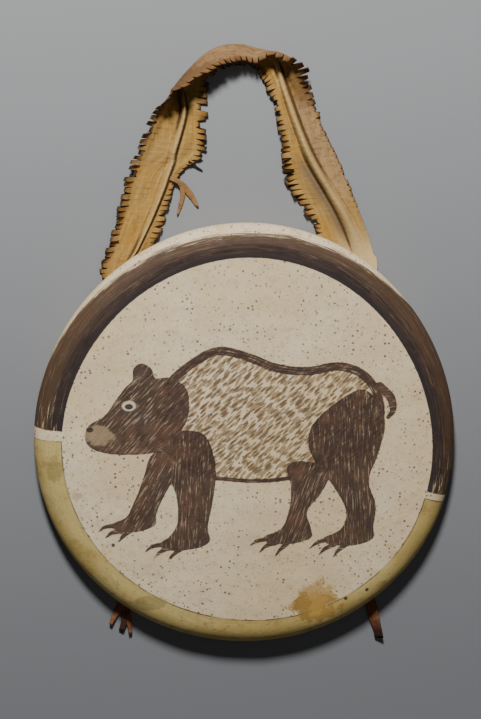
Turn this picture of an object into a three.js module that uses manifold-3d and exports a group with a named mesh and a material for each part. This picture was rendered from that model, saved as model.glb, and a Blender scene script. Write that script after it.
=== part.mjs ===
// A painted rawhide shield lying on its back, with its fringed leather carrying strap laid out above it.
// Millimetres, +Z up. The strap loop points to +Y. The origin is under the middle of the whole object,
// on its rest plane.
import * as THREE from 'three';
import { mergeVertices } from 'three/addons/utils/BufferGeometryUtils.js';
import Module from 'manifold-3d';

const wasm = await Module();
wasm.setup();

// Driving dimensions.
const DISC_RADIUS = 254;          // a 20 inch shield
const RIM_HEIGHT = 41;            // height of the face where the rim starts to roll back
const CROWN_RISE = 9;             // the middle of the face stands this much higher than that
const SHOULDER_RADIUS = 226;      // where the rim starts to roll back
const WALL_TOP = 18;              // height of the widest part of the rolled rim
const WALL_TUCK = 4;              // the lower edge is drawn in by this much
const HIDE_THICKNESS = 9;
const RIM_LAND = 10;              // width of the flat edge that the shield rests on
const STRAP_RELIEF = 5.5;         // the edge of the hide lifts this much over a leg of the strap
const THONG_RELIEF = 5;           // and this much over a thong
const HOLE_DIAMETER = 3.2;
const HOLE_REACH = 50;            // the pricking tool's length, half of it below the face
const STRAP_THICKNESS = 2.4;
const FRINGE_PITCH = 12;
const FRINGE_DEPTH = 11;
const FRINGE_FROM = 205;          // the fringe runs out where the strap passes under the rim
const FRINGE_FULL = 240;
const THONG_THICKNESS = 3;
const TAIL_THICKNESS = 2.4;
const LACE_THICKNESS = 2;
const STRING_THICKNESS = 1.8;
const CONTACT_GAP = 0.3;

// Detail of the faceted solids.
const DISC_SEGMENTS = 72;
const CROWN_RINGS = 4;
const SHOULDER_RINGS = 5;
const THONG_STEP = 14;

const hide = new THREE.MeshStandardMaterial({ color: '#cbbd9f', roughness: 0.72, metalness: 0 });
const tannedLeather = new THREE.MeshStandardMaterial({ color: '#ad8c52', roughness: 0.85, metalness: 0 });
const laceLeather = new THREE.MeshStandardMaterial({ color: '#8a5a3a', roughness: 0.8, metalness: 0 });
const darkString = new THREE.MeshStandardMaterial({ color: '#3b2a20', roughness: 0.9, metalness: 0 });

const degrees = THREE.MathUtils.degToRad;
const smooth = THREE.MathUtils.smoothstep;

// A solid ready for cutting and joining, from a closed three.js mesh whose faces may be wound either way.
function solidOf(geometry) {
  const bare = geometry.clone();
  bare.deleteAttribute('normal');
  bare.deleteAttribute('uv');
  const merged = mergeVertices(bare, 1e-3);
  const at = merged.attributes.position.array;
  const corners = Array.from(merged.index.array);
  const triangles = [];
  for (let i = 0; i < corners.length; i += 3) {
    const [a, b, c] = corners.slice(i, i + 3);
    if (a !== b && b !== c && c !== a) triangles.push(a, b, c);
  }
  const corner = (i) => new THREE.Vector3(at[3 * i], at[3 * i + 1], at[3 * i + 2]);
  let volume = 0;
  for (let i = 0; i < triangles.length; i += 3) {
    const [a, b, c] = triangles.slice(i, i + 3).map(corner);
    volume += a.dot(b.cross(c)) / 6;
  }
  if (volume < 0) triangles.reverse();
  return new wasm.Manifold(new wasm.Mesh({
    numProp: 3, vertProperties: new Float32Array(at), triVerts: new Uint32Array(triangles),
  }));
}

function meshOf(solid, name, material) {
  const { vertProperties, triVerts } = solid.getMesh();
  const geometry = new THREE.BufferGeometry();
  geometry.setAttribute('position', new THREE.BufferAttribute(new Float32Array(vertProperties), 3));
  geometry.setIndex(Array.from(triVerts));
  geometry.computeVertexNormals();
  const mesh = new THREE.Mesh(geometry, material);
  mesh.name = name;
  return mesh;
}

// ---- The rawhide disc ----

// The outline of a hand-cut round: a few millimetres out of true, longest from the upper left to the
// lower right.
function roundness(angle) {
  return 1 - 0.0117 * Math.cos(2 * angle) - 0.0115 * Math.sin(2 * angle)
    - 0.0021 * Math.cos(3 * angle) - 0.0059 * Math.sin(3 * angle);
}

// What passes under the rim: the two legs of the strap and the two tie thongs.
const PASSAGES = [
  { angle: degrees(126.5), half: degrees(10.5), lift: STRAP_RELIEF },
  { angle: degrees(59.2), half: degrees(11), lift: STRAP_RELIEF },
  { angle: degrees(235.5), half: degrees(7), lift: THONG_RELIEF },
  { angle: degrees(306), half: degrees(6), lift: THONG_RELIEF },
];
const PASSAGE_BLEND = degrees(6);
// Each hole's angle in degrees and its distance from the middle.
const THONG_HOLES = [[216.7, 201.5], [300.7, 231], [307.3, 237.5]];

function edgeLift(angle) {
  let lift = 0;
  for (const passage of PASSAGES) {
    const away = Math.abs(Math.atan2(Math.sin(angle - passage.angle), Math.cos(angle - passage.angle)));
    lift = Math.max(lift, passage.lift * (1 - smooth(away, passage.half, passage.half + PASSAGE_BLEND)));
  }
  return lift;
}

// The outer skin from the crown to the lower edge; the inner skin is the same form one hide thickness
// inside it.
function discProfile() {
  const skin = (inset) => {
    const shoulder = SHOULDER_RADIUS - inset / 2;
    const widest = DISC_RADIUS - inset;
    const rim = RIM_HEIGHT - inset;
    const half = [];
    for (let i = 0; i <= CROWN_RINGS; i++) {
      const part = i / CROWN_RINGS;
      half.push([shoulder * part, rim + CROWN_RISE * (1 - part * part)]);
    }
    for (let i = 1; i <= SHOULDER_RINGS; i++) {
      const turn = (Math.PI / 2) * (i / SHOULDER_RINGS);
      half.push([
        shoulder + (widest - shoulder) * Math.sin(turn),
        WALL_TOP - inset / 2 + (rim - WALL_TOP + inset / 2) * Math.cos(turn),
      ]);
    }
    half.push([widest - WALL_TUCK / 4, WALL_TOP / 2 - inset / 4]);
    return half;
  };
  const lowerEdge = DISC_RADIUS - WALL_TUCK;
  const points = [...skin(0), [lowerEdge, 0], [lowerEdge - RIM_LAND, 0], ...skin(HIDE_THICKNESS).reverse()];
  return points.map(([r, z]) => new THREE.Vector2(r, z));
}

// Height of the face at a distance from the middle.
function faceHeight(radius) {
  if (radius < SHOULDER_RADIUS) return RIM_HEIGHT + CROWN_RISE * (1 - (radius / SHOULDER_RADIUS) ** 2);
  const part = (radius - SHOULDER_RADIUS) / (DISC_RADIUS - SHOULDER_RADIUS);
  return WALL_TOP + (RIM_HEIGHT - WALL_TOP) * Math.sqrt(1 - part * part);
}

// A thong hole opens on the face and leans in towards the hollow, as it was pricked near the rolled rim.
function thongHole(angle, radius) {
  const hole = new THREE.CylinderGeometry(HOLE_DIAMETER / 2, HOLE_DIAMETER / 2, HOLE_REACH, 8);
  const lean = new THREE.Vector3(Math.cos(angle), Math.sin(angle), 1).normalize();
  hole.applyQuaternion(new THREE.Quaternion().setFromUnitVectors(new THREE.Vector3(0, 1, 0), lean));
  hole.translate(radius * Math.cos(angle), radius * Math.sin(angle), faceHeight(radius));
  return solidOf(hole);
}

function rawhideDisc() {
  const lathe = new THREE.LatheGeometry(discProfile(), DISC_SEGMENTS);
  lathe.rotateX(Math.PI / 2);
  const at = lathe.attributes.position;
  for (let i = 0; i < at.count; i++) {
    const angle = Math.atan2(at.getY(i), at.getX(i));
    const grow = roundness(angle);
    const z = at.getZ(i);
    const lifted = z + edgeLift(angle) * (1 - smooth(z, 0, WALL_TOP));
    at.setXYZ(i, at.getX(i) * grow, at.getY(i) * grow, lifted);
  }
  let disc = solidOf(lathe);
  for (const [angle, radius] of THONG_HOLES) disc = disc.subtract(thongHole(degrees(angle), radius));
  return disc;
}

// ---- Bands of leather ----

// A band is a list of cross-sections, each a closed ring of points; its two ends are closed flat.
function bandSolid(sections) {
  const ring = sections[0].length;
  const positions = sections.flat().flatMap((p) => [p.x, p.y, p.z]);
  const index = [];
  for (let i = 0; i + 1 < sections.length; i++) {
    for (let k = 0; k < ring; k++) {
      const a = i * ring + k;
      const b = i * ring + ((k + 1) % ring);
      index.push(a, b, b + ring, a, b + ring, a + ring);
    }
  }
  // Top point k faces bottom point ring-1-k, so an end is closed by a strip across the thickness.
  const cap = (base, flip) => {
    for (let k = 0; k + 1 < ring / 2; k++) {
      const quad = [base + k, base + k + 1, base + ring - 2 - k, base + ring - 1 - k];
      const [a, b, c, d] = flip ? quad : quad.reverse();
      index.push(a, b, c, a, c, d);
    }
  };
  cap(0, false);
  cap((sections.length - 1) * ring, true);
  const geometry = new THREE.BufferGeometry();
  geometry.setAttribute('position', new THREE.BufferAttribute(new Float32Array(positions), 3));
  geometry.setIndex(index);
  return solidOf(geometry);
}

// One cross-section: its middle line as points along "out" and up from the inner edge, given a thickness.
function thickSection(middle, inner, out, thickness) {
  const place = ([reach, height]) => new THREE.Vector3(
    inner.x + out.x * reach, inner.y + out.y * reach, inner.z + height);
  const top = [];
  const under = [];
  middle.forEach((point, i) => {
    const before = middle[Math.max(i - 1, 0)];
    const after = middle[Math.min(i + 1, middle.length - 1)];
    const slope = Math.atan2(after[1] - before[1], after[0] - before[0]);
    const side = [-Math.sin(slope) * thickness / 2, Math.cos(slope) * thickness / 2];
    top.push(place([point[0] + side[0], point[1] + side[1]]));
    under.push(place([point[0] - side[0], point[1] - side[1]]));
  });
  return [...top, ...under.reverse()];
}

// The course of the strap as it lies, from its hidden left end round the loop to its hidden right end.
// Each entry: the inner edge's place, the outer side's place, how far the section curls over (degrees),
// and the lengthwise pleat's place across the band (0 inner edge, 1 outer edge) and height.
const STRAP_COURSE = [
  [-130, 104, -166, 104, 0, 0.5, 0],
  [-122, 165, -164, 168, 0, 0.5, 0],
  [-116, 207, -168, 204, 0, 0.5, 1],
  [-108, 230, -160, 226, 0, 0.5, 3],
  [-97, 262, -150, 260, 4, 0.42, 6],
  [-86, 296, -140, 300, 6, 0.32, 7],
  [-75, 318, -133, 323, 8, 0.3, 7],
  [-51, 338, -124, 347, 10, 0.36, 7],
  [-48, 376, -109, 387, 24, 0.38, 6],
  [-48, 400, -95, 408, 70, 0.42, 3],
  [-43, 420, -78, 424, 115, 0.45, 0],
  [-36, 431, -64, 438, 140, 0.5, 0],
  [-24, 438, -45, 455, 155, 0.5, 0],
  [-12, 441, -24, 463, 160, 0.5, 0],
  [0, 441, -3, 463, 160, 0.5, 0],
  [9, 438, 12, 459, 150, 0.5, 0],
  [16, 433, 28, 457, 110, 0.45, 0],
  [22, 424, 52, 452, 60, 0.42, 3],
  [28, 411, 66, 431, 30, 0.4, 5],
  [35, 392, 75, 410, 14, 0.35, 9],
  [41, 362, 92, 368, 4, 0.38, 9],
  [47, 320, 112, 328, 0, 0.5, 9],
  [62, 288, 127, 292, 0, 0.62, 8],
  [77, 261, 139, 262, 0, 0.72, 6],
  [86, 238, 150, 232, 0, 0.75, 3],
  [97, 205, 157, 200, 0, 0.75, 1],
  [105, 165, 151, 165, 0, 0.6, 0],
  [110, 104, 146, 104, 0, 0.5, 0],
];
const CURL_START = 0.18;                             // up to here across its width the band stays level,
const CURL_END = 0.86;                               // and from here on its curled-over flap is straight
const SECTION_SPOTS = [0, 0.2, 0.36, 0.5, 0.64, 0.8, 1];
const PLEAT_HALF = 0.15;
const PLEAT_SHAPE = [0, 0, 0.3, 1, 0.3, 0, 0];       // the pleat's height at each spot, and
const PLEAT_PULL = [0, 0.45, 1, 1, 1, 0.45, 0];      // how far each spot is drawn towards it
const NEAR_EDGE = 0.215;                             // no inner spot comes nearer an edge
const SPOT_GAP = 0.04;
const CURL_STEPS = 60;
const LENGTH_STEPS = 1500;

// The middle line of a section as it curls over: points along "out" and up, for a band one unit wide.
function curledLine(curl) {
  const line = [[0, 0]];
  for (let i = 0; i < CURL_STEPS; i++) {
    const turn = degrees(curl) * smooth((i + 0.5) / CURL_STEPS, CURL_START, CURL_END);
    const [reach, height] = line[i];
    line.push([reach + Math.cos(turn) / CURL_STEPS, height + Math.sin(turn) / CURL_STEPS]);
  }
  return line;
}

// The points of one strap section, with its pleat raised and each edge cut back by the fringe.
function strapMiddle(reach, curl, pleatAt, pleatHeight, cut) {
  const line = curledLine(curl);
  const width = reach / Math.max(...line.map((point) => point[0]));
  const spots = SECTION_SPOTS.map((u, i) => {
    const pull = pleatHeight > 0 ? PLEAT_PULL[i] : 0;
    return THREE.MathUtils.lerp(u, pleatAt + (i - 3) * PLEAT_HALF, pull);
  });
  spots[0] = cut / width;
  spots[6] = 1 - cut / width;
  spots[1] = THREE.MathUtils.clamp(spots[1], NEAR_EDGE, spots[2] - SPOT_GAP);
  spots[5] = THREE.MathUtils.clamp(spots[5], spots[4] + SPOT_GAP, 1 - NEAR_EDGE);
  return spots.map((u, i) => {
    const [along, up] = line[Math.round(u * CURL_STEPS)];
    const raised = pleatHeight * PLEAT_SHAPE[i];
    return [along * width, STRAP_THICKNESS / 2 + up * width + raised];
  });
}

function carryingStrap() {
  const edge = (x, y) => new THREE.CatmullRomCurve3(
    STRAP_COURSE.map((row) => new THREE.Vector3(row[x], row[y], 0)), false, 'centripetal');
  const inner = edge(0, 1);
  const outer = edge(2, 3);
  const last = STRAP_COURSE.length - 1;
  const places = [];
  let length = 0;
  let before = null;
  for (let i = 0; i <= LENGTH_STEPS; i++) {
    const t = i / LENGTH_STEPS;
    const middle = inner.getPoint(t).lerp(outer.getPoint(t), 0.5);
    length += before ? middle.distanceTo(before) : 0;
    places.push({ t, length });
    before = middle;
  }
  const teeth = Math.round(length / FRINGE_PITCH);
  const sections = [];
  let place = 0;
  for (let i = 0; i <= 2 * teeth; i++) {
    while (place < LENGTH_STEPS && places[place].length < length * i / (2 * teeth)) place += 1;
    const { t } = places[place];
    const start = inner.getPoint(t);
    const out = outer.getPoint(t).sub(start);
    const reach = out.length();
    out.normalize();
    const [curl, pleatAt, pleatHeight] = between(STRAP_COURSE, t * last, [4, 5, 6]);
    const shown = smooth(start.y, FRINGE_FROM, FRINGE_FULL);
    const cut = i % 2 ? 0 : FRINGE_DEPTH * shown;
    const line = strapMiddle(reach, curl, pleatAt, pleatHeight, cut);
    sections.push(thickSection(line, start, out, STRAP_THICKNESS));
  }
  return bandSolid(sections);
}

// Columns of a table of stations at a place between two of its rows.
function between(table, place, columns) {
  const row = Math.min(Math.floor(place), table.length - 2);
  const part = smooth(place - row, 0, 1);
  return columns.map((c) => THREE.MathUtils.lerp(table[row][c], table[row + 1][c], part));
}

// A flat thong along a course of [x, y, height of its middle, width, twist in degrees].
function thong(course, thickness) {
  const stations = course.map(([x, y, z]) => new THREE.Vector3(x, y, z));
  const path = new THREE.CatmullRomCurve3(stations, false, 'centripetal');
  const last = course.length - 1;
  const steps = Math.max(4, Math.round(path.getLength() / THONG_STEP), last);
  const sections = [];
  for (let i = 0; i <= steps; i++) {
    const t = path.getUtoTmapping(i / steps);
    const spot = path.getPoint(t);
    spot.z = between(course, t * last, [2])[0];
    const ahead = path.getTangent(t);
    const across = new THREE.Vector3(-ahead.y, ahead.x, 0).normalize();
    const [width, twist] = between(course, t * last, [3, 4]);
    across.applyAxisAngle(ahead, degrees(twist));
    const up = new THREE.Vector3().crossVectors(ahead, across).normalize().multiplyScalar(thickness / 2);
    const half = across.clone().multiplyScalar(width / 2);
    const corner = (side, level) => spot.clone().addScaledVector(half, side).addScaledVector(up, level);
    sections.push([
      corner(-0.8, 1), corner(0, 1.15), corner(0.8, 1), corner(1, 0),
      corner(1, -0.4), corner(0.8, -1), corner(-0.8, -1), corner(-1, -0.4),
    ]);
  }
  return bandSolid(sections);
}

// ---- The thongs ----

// A thong's middle is this high where it lies on the ground, and where it lies on the strap's hidden end.
const ON_GROUND = THONG_THICKNESS / 2;
const ON_STRAP = STRAP_THICKNESS + CONTACT_GAP + THONG_THICKNESS / 2;

// It lies over the strap's hidden end, crosses the hollow, passes under the rim and is split into tails.
function tieThongLeft() {
  const main = thong([
    [-147, 134, ON_STRAP, 9, 0],
    [-147, 116, ON_STRAP, 9, 0],
    [-148, 100, ON_STRAP + 0.2, 9, 0],
    [-150, 84, ON_GROUND + 1, 9, 0],
    [-154, 68, ON_GROUND, 9, 0],
    [-182, -10, ON_GROUND, 9, 0],
    [-180, -95, ON_GROUND, 9, 0],
    [-158, -170, ON_GROUND, 10, 0],
    [-147, -206, ON_GROUND, 12, 0],
    [-146, -226, ON_GROUND, 10, 0],
    [-151, -243, ON_GROUND + 1, 7, 10],
  ], THONG_THICKNESS);
  const outerTail = thong([
    [-149, -196, ON_GROUND, 6, 0],
    [-153, -214, ON_GROUND, 7, 0],
    [-160, -225, ON_GROUND + 1.5, 6, 20],
    [-164, -234, ON_GROUND + 3, 4, 30],
  ], TAIL_THICKNESS);
  const innerTail = thong([
    [-146, -204, ON_GROUND, 6, 0],
    [-143, -220, ON_GROUND, 7, 0],
    [-141, -236, ON_GROUND + 1.5, 6, -20],
    [-140, -247, ON_GROUND + 2.5, 4, -25],
  ], TAIL_THICKNESS);
  return main.add(outerTail).add(innerTail);
}

// Its single tail is broad and turned up on edge.
function tieThongRight() {
  return thong([
    [130, 134, ON_STRAP, 9, 0],
    [130, 116, ON_STRAP, 9, 0],
    [131, 100, ON_STRAP + 0.2, 9, 0],
    [134, 84, ON_GROUND + 1, 9, 0],
    [140, 68, ON_GROUND, 9, 0],
    [182, -10, ON_GROUND, 9, 0],
    [186, -95, ON_GROUND, 9, 0],
    [168, -165, ON_GROUND, 10, 0],
    [152, -206, ON_GROUND, 12, 0],
    [157, -222, ON_GROUND + 0.5, 14, 0],
    [163, -240, ON_GROUND + 3, 14, 25],
    [167, -256, ON_GROUND + 4, 13, 40],
    [169, -268, ON_GROUND + 3.5, 11, 30],
  ], THONG_THICKNESS);
}

// A lace knotted through the strap's left leg: two ends in a V, from the strap down to the ground.
function strapLace() {
  const ground = LACE_THICKNESS / 2 + 0.1;
  const crown = STRAP_THICKNESS + CONTACT_GAP + LACE_THICKNESS / 2 + 3;
  const right = thong([
    [-92, 313, crown + 2, 5, 0],
    [-80, 309, crown + 1, 6, 0],
    [-68, 296, 2.6, 7, 0],
    [-59, 283, ground, 6, 0],
    [-54, 275, ground, 2, 0],
  ], LACE_THICKNESS);
  const left = thong([
    [-86, 312, crown + 2, 5, 0],
    [-78, 303, crown + 1, 5, 0],
    [-74, 291, 3.4, 6, 0],
    [-76, 277, ground, 5, 0],
    [-79, 266, ground, 2, 0],
  ], LACE_THICKNESS);
  return right.add(left);
}

function strapString() {
  return thong([[-66, 330, 6, 2.4, 0], [-58, 324, 3, 2.4, 0], [-50, 318, 1.2, 1.6, 0]], STRING_THICKNESS);
}

const shield = new THREE.Group();
shield.add(meshOf(rawhideDisc(), 'rawhide_disc', hide));
shield.add(meshOf(carryingStrap(), 'carrying_strap', tannedLeather));
shield.add(meshOf(strapLace(), 'strap_lace', laceLeather));
shield.add(meshOf(strapString(), 'strap_string', darkString));
shield.add(meshOf(tieThongLeft(), 'tie_thong_left', laceLeather));
shield.add(meshOf(tieThongRight(), 'tie_thong_right', laceLeather));

const box = new THREE.Box3().setFromObject(shield);
const middle = box.getCenter(new THREE.Vector3());
shield.position.set(-middle.x, -middle.y, -box.min.z);

export default shield;
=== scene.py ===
"""A painted rawhide shield, lying on its back with its fringed carrying strap laid out above it."""

import bpy
import numpy as np
from mathutils import Matrix, Vector


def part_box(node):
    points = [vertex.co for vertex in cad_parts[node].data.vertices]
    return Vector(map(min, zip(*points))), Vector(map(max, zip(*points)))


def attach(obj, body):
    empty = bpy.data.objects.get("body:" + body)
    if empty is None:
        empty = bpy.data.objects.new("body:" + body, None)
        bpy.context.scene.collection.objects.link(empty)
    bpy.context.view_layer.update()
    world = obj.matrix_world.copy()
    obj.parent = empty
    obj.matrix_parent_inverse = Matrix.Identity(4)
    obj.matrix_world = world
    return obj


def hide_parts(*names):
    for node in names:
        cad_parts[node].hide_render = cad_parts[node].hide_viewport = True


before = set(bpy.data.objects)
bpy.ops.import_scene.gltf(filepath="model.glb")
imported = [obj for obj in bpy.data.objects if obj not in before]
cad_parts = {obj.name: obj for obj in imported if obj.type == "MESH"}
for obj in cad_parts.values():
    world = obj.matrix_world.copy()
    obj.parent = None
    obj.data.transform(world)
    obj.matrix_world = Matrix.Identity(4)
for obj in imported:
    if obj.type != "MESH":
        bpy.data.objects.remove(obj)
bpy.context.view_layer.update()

# ---- The rawhide disc ----
# One thick disc of bull rawhide, shrunk and dried over a mound so that it is dished, its edge rolled back.
# It was cut by hand, so the round is a little out of true, and thongs were pricked through near the rim.

MM = 0.001
DISC_RADIUS = 254.0
RIM_HEIGHT = 41.0
CROWN_RISE = 9.0
SHOULDER_RADIUS = 226.0
WALL_TOP = 18.0
WALL_TUCK = 4.0
HIDE_THICKNESS = 9.0
RIM_LAND = 10.0
EDGE_WEAR = 1.3
SPOKES = 480
THONG_HOLES = [(216.7, 201.5), (300.7, 231.0), (307.3, 237.5)]
HOLE_WIDTH = 3.2
# What passes under the rim: direction and half width in degrees, and how far the edge lifts over it.
PASSAGES = [(126.5, 10.5, 5.5), (59.2, 11.0, 5.5), (235.5, 7.0, 5.0), (306.0, 6.0, 5.0)]
PASSAGE_BLEND = 6.0


def smooth(value, start, end):
    """0 before start and 1 after end, easing in and out between them."""
    part = np.clip((value - start) / (end - start), 0.0, 1.0)
    return part * part * (3.0 - 2.0 * part)


def roundness(angle):
    """The disc's radius in each direction, as a share of a true circle's: four small waves round the
    edge."""
    return (1 - 0.0117 * np.cos(2 * angle) - 0.0115 * np.sin(2 * angle)
            - 0.0021 * np.cos(3 * angle) - 0.0059 * np.sin(3 * angle))


def edge_lift(angle):
    """How far the lower edge rises in each direction, a flat-topped swell over each thing that passes under
    it."""
    lift = np.zeros_like(angle)
    for direction, half, height in PASSAGES:
        away = np.abs((np.degrees(angle) - direction + 180) % 360 - 180)
        lift = np.maximum(lift, height * (1 - smooth(away, half, half + PASSAGE_BLEND)))
    return lift


def hide_skin(inset, crown, shoulder, wall):
    """Radius and height of one skin from the middle outwards: a shallow parabola, a quarter ellipse, a
    tucked wall."""
    start = SHOULDER_RADIUS - inset / 2
    widest = DISC_RADIUS - inset
    rim = RIM_HEIGHT - inset
    level = WALL_TOP - inset / 2
    part = np.linspace(0, 1, crown + 1)[1:]
    turn = np.linspace(0, np.pi / 2, shoulder + 1)[1:]
    drop = np.linspace(0, 1, wall + 1)[1:]
    radius = [start * part, start + (widest - start) * np.sin(turn), widest - WALL_TUCK * drop**2]
    height = [rim + CROWN_RISE * (1 - part**2), level + (rim - level) * np.cos(turn), level * (1 - drop)]
    return np.concatenate(radius), np.concatenate(height)


def swell(x, y, length, seed):
    """A gentle unevenness between -1 and 1: six waves of about one length, in seeded directions."""
    rng = np.random.default_rng(seed)
    total = np.zeros_like(x)
    for heading, stretch, start in zip(
        rng.uniform(0, np.pi, 6), rng.uniform(0.7, 1.4, 6), rng.uniform(0, 6, 6),
    ):
        wave = 2 * np.pi / (length * stretch)
        total += np.sin(wave * (x * np.cos(heading) + y * np.sin(heading)) + start)
    return total / 3.5


def skins_from_rings(name, shells):
    """A mesh of closed skins. Each skin is rings of points: each ring is joined to the next, and each end to
    its middle, with the faces outwards where the rings turn left as they come nearer."""
    points, faces, base = [], [], 0
    for rings in shells:
        count, around = rings.shape[:2]
        row, column = np.meshgrid(np.arange(count - 1), np.arange(around), indexing="ij")
        here = base + (row * around + column).ravel()
        beside = base + (row * around + (column + 1) % around).ravel()
        faces += np.stack([here, beside, beside + around, here + around], axis=1).tolist()
        edge = np.arange(around)
        beyond = (edge + 1) % around
        last = base + (count - 1) * around
        middle = base + count * around
        faces += np.stack([base + beyond, base + edge, np.full(around, middle)], axis=1).tolist()
        faces += np.stack([last + edge, last + beyond, np.full(around, middle + 1)], axis=1).tolist()
        points += [rings.reshape(-1, 3), rings[:1].mean(1), rings[-1:].mean(1)]
        base = middle + 2
    mesh = bpy.data.meshes.new(name)
    mesh.from_pydata(np.vstack(points) * MM, [], faces)
    mesh.shade_smooth()
    piece = bpy.data.objects.new(name, mesh)
    bpy.context.scene.collection.objects.link(piece)
    return piece


def store(piece, name, values):
    """Puts one number for each point of the piece into a named attribute that its material reads."""
    layer = piece.data.attributes.new(name, "FLOAT", "POINT")
    layer.data.foreach_set("value", np.asarray(values, np.float32))


angle = np.arange(SPOKES) * 2 * np.pi / SPOKES
outline = DISC_RADIUS * roundness(angle)
disc_low, disc_high = (np.array(corner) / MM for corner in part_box("rawhide_disc"))
CENTRE = np.array([
    (disc_low[0] + disc_high[0] - (outline * np.cos(angle)).max() - (outline * np.cos(angle)).min()) / 2,
    (disc_low[1] + disc_high[1] - (outline * np.sin(angle)).max() - (outline * np.sin(angle)).min()) / 2,
    0.0,
])

outer_radius, outer_height = hide_skin(0.0, 124, 22, 8)
inner_radius, inner_height = hide_skin(HIDE_THICKNESS, 30, 10, 4)
outer_height[-1] = EDGE_WEAR
edge_radius = DISC_RADIUS - WALL_TUCK
land_radius = [edge_radius - EDGE_WEAR, edge_radius - RIM_LAND / 2, edge_radius - RIM_LAND + EDGE_WEAR]
disc_radius = np.concatenate([outer_radius, land_radius, [edge_radius - RIM_LAND], inner_radius[-2::-1]])
disc_height = np.concatenate([outer_height, [0, 0, 0], [EDGE_WEAR], inner_height[-2::-1]])
spread = disc_radius[:, None] * roundness(angle)
disc_x = spread * np.cos(angle)
disc_y = spread * np.sin(angle)
low_part = 1 - smooth(disc_height, 0, WALL_TOP)
on_face = smooth(disc_height, WALL_TOP / 2, RIM_HEIGHT)[:, None]
disc_z = disc_height[:, None] + edge_lift(angle) * low_part[:, None]
disc_z = disc_z + on_face * (0.7 * swell(disc_x, disc_y, 150, 3) + 0.25 * swell(disc_x, disc_y, 38, 4) - 0.6)
disc_rings = np.stack([disc_x, disc_y, disc_z], axis=2)[::-1]
disc = skins_from_rings("rawhide_shield", [disc_rings + CENTRE])

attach(disc, "root")
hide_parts("rawhide_disc")

# The thong holes were pricked through near the rolled rim, so each leans in towards the hollow.
for direction, distance in THONG_HOLES:
    turned = np.radians(direction)
    lean = np.array([np.cos(turned), np.sin(turned), 1.0]) / np.sqrt(2)
    beside = np.array([-np.sin(turned), np.cos(turned), 0.0])
    mouth = np.array([distance * np.cos(turned), distance * np.sin(turned), 0.0])
    mouth[2] = np.interp(distance, outer_radius, outer_height)
    around = np.arange(20)[:, None] * 2 * np.pi / 20
    ring = (np.cos(around) * beside + np.sin(around) * np.cross(lean, beside)) * HOLE_WIDTH / 2
    pricker = skins_from_rings(
        "pricker", [np.stack([mouth + ring + 6 * lean, mouth + ring - 26 * lean]) + CENTRE],
    )
    cut = disc.modifiers.new("thong hole", "BOOLEAN")
    cut.object = pricker
    with bpy.context.temp_override(object=disc):
        bpy.ops.object.modifier_apply(modifier=cut.name)
    bpy.data.objects.remove(pricker)

# The paint is earth colours brushed on flat: a border in two colours and a bear in the middle. Each painted
# edge is held as a distance in millimetres, positive where there is paint, which the material turns into
# brushwork.

# The border's inner edge was drawn freehand: a circle with three small waves (cosine and sine parts) round
# it.
BORDER_EDGE = 220.84
BORDER_WAVES = [(1.33, -2.30), (-0.86, -3.93), (-1.36, -2.25)]
# Each part of the border: the direction of its middle and half its length, in degrees.
BROWN_PART = (78.6, 96.2)
OCHRE_PART = (259.1, 81.2)
# How far down the rim the brown reaches: it stops on the shoulder over the top and runs down the rim at the
# sides.
BROWN_LIMIT = [
    (-30, 14), (36, 16), (44, 26), (58, 31), (75, 33.5), (105, 33.5), (128, 30), (148, 24), (168, 14),
]
OCHRE_LIMIT = 9.0

BEAR_SCALE = 1.12
BEAR_BODY = [
    (-96, 52), (-84, 74), (-60, 94), (-34, 106), (-4, 100), (30, 86), (62, 82), (94, 86), (122, 76),
    (140, 52), (144, 24), (134, -6), (108, -26), (70, -36), (24, -42), (-20, -40), (-56, -32),
    (-84, -10), (-98, 20),
]
BEAR_HEAD = [
    (-172, 10), (-168, 24), (-152, 34), (-140, 50), (-130, 64), (-122, 72), (-121, 84), (-112, 90),
    (-102, 84), (-98, 74), (-84, 74), (-66, 62), (-64, 34), (-78, 8), (-100, -6), (-128, -8),
    (-150, -6), (-166, 0),
]
BEAR_LEGS = [
    [(-88, 12), (-50, 14), (-36, -20), (-38, -56), (-44, -90), (-42, -106), (-58, -114), (-84, -115),
     (-96, -108), (-84, -98), (-76, -82), (-78, -52), (-90, -20)],
    [(-88, -4), (-72, -20), (-88, -50), (-98, -72), (-100, -86), (-118, -93), (-138, -92), (-145, -84),
     (-130, -76), (-122, -60), (-112, -34), (-104, -10)],
    [(76, 30), (120, 56), (144, 22), (138, -14), (128, -44), (136, -72), (134, -96), (134, -110), (114, -117),
     (88, -115), (80, -107), (98, -98), (104, -78), (90, -50), (70, -22), (62, 4)],
    [(56, -20), (86, -30), (78, -54), (62, -76), (66, -94), (66, -106), (46, -112), (22, -110), (16, -102),
     (34, -94), (42, -74), (44, -48), (40, -26)],
]
BEAR_TAIL = [(138, 58), (150, 46), (153, 32), (148, 24)]
BEAR_CLAWS = [
    [(-84, -112), (-94, -116), (-101, -123)], [(-92, -108), (-103, -110), (-111, -116)],
    [(-72, -113), (-80, -119), (-86, -126)], [(-136, -92), (-146, -94), (-153, -101)],
    [(-142, -86), (-152, -87), (-160, -92)], [(-126, -92), (-134, -98), (-139, -105)],
    [(92, -115), (82, -119), (75, -126)], [(84, -109), (73, -112), (65, -118)],
    [(104, -116), (96, -122), (91, -129)], [(28, -110), (18, -113), (11, -120)],
    [(20, -105), (9, -107), (1, -112)], [(40, -112), (33, -118), (28, -125)],
]
CLAW_WIDTHS = [5.5, 4.5, 1.5]


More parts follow.
